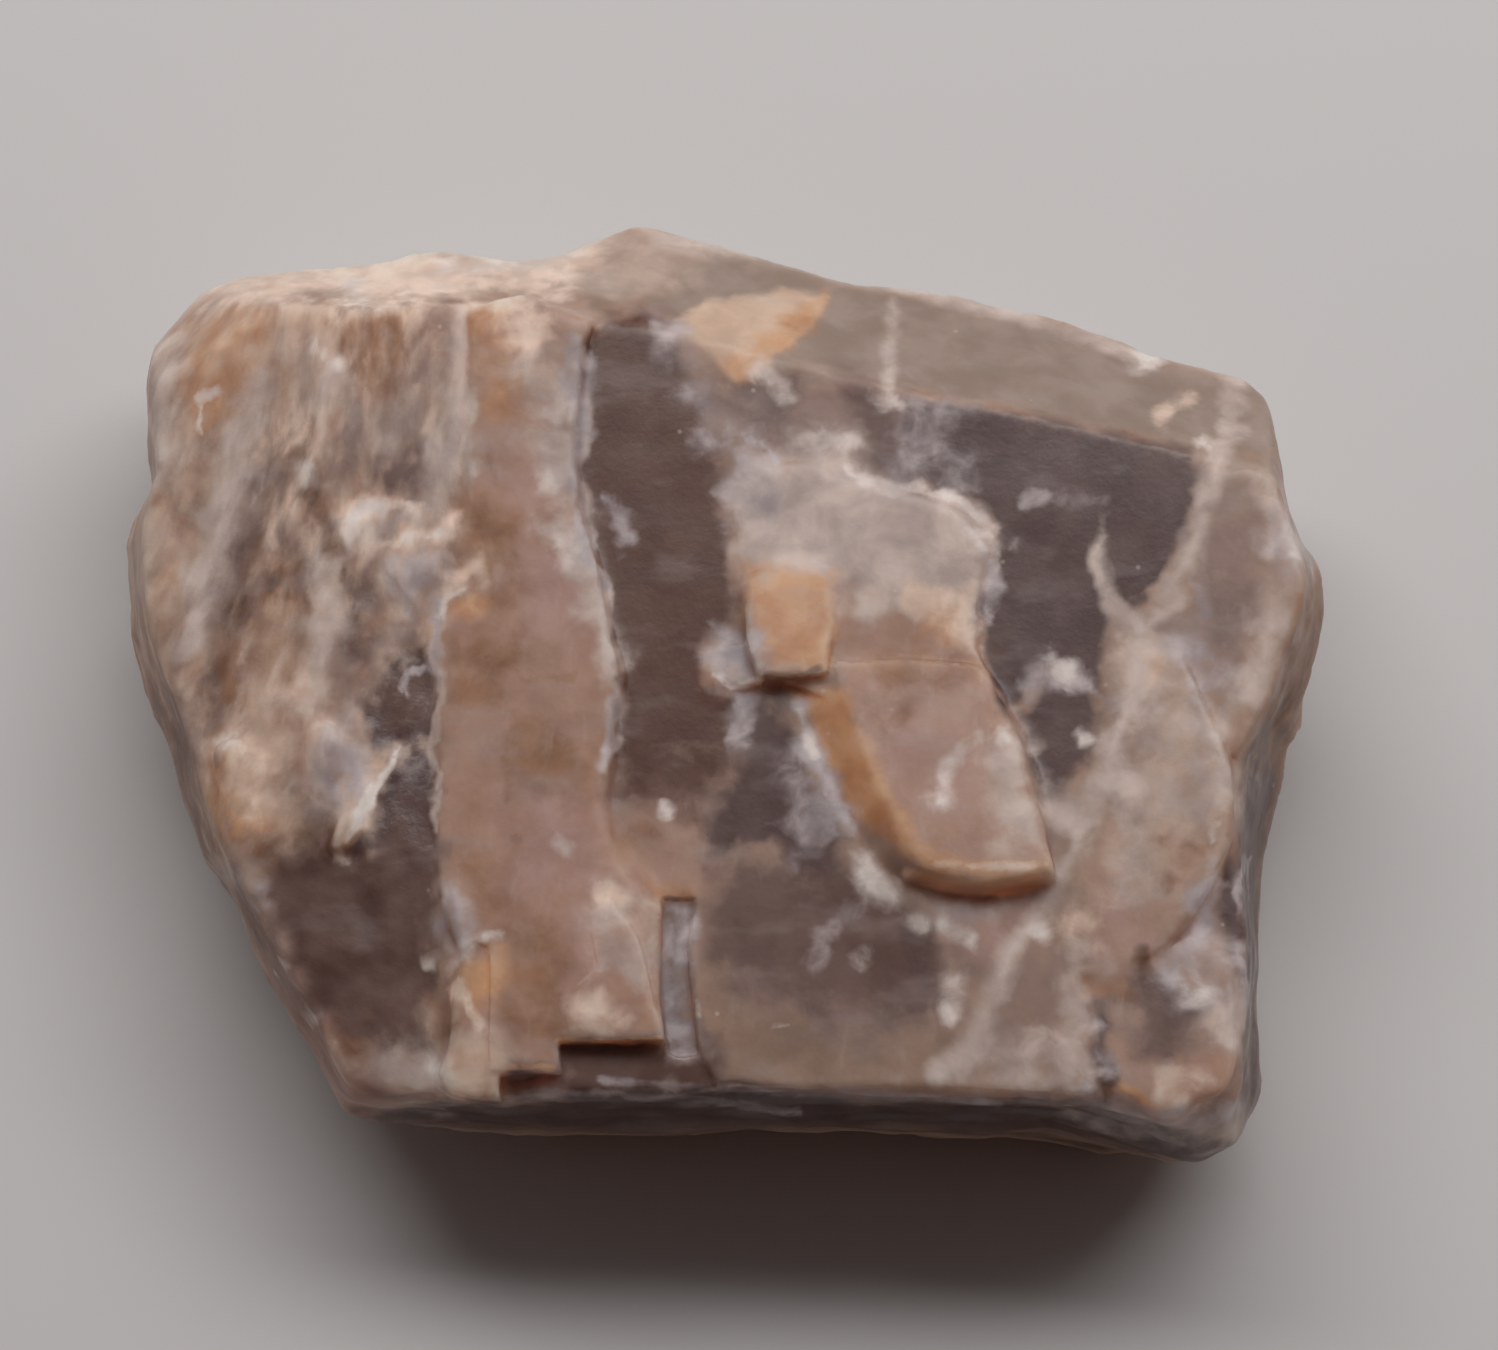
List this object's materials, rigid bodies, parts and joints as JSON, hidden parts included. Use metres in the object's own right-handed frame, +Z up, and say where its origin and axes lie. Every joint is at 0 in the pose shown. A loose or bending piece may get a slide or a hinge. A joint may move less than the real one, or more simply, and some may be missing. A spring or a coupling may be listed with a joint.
{
  "type": "moonstone specimen",
  "caption": "Rough cleavage block of peach and grey moonstone feldspar with stepped glassy faces, lying on its flat underside.",
  "frame": {"origin": "middle of the stone's bounding box, on its flat underside", "axes": "+X along the length, the rough left field at -X; +Y towards the bevelled back edge; +Z up out of the stepped top face"},
  "size_m": [0.0496, 0.0394, 0.0134],
  "materials": {
    "feldspar": "glassy on the cleavage faces, satin to sugary on the broken ones; cloudy and slightly translucent"
  },
  "bodies": {
    "root": {"moonstone": "feldspar"}
  },
  "joints": []
}
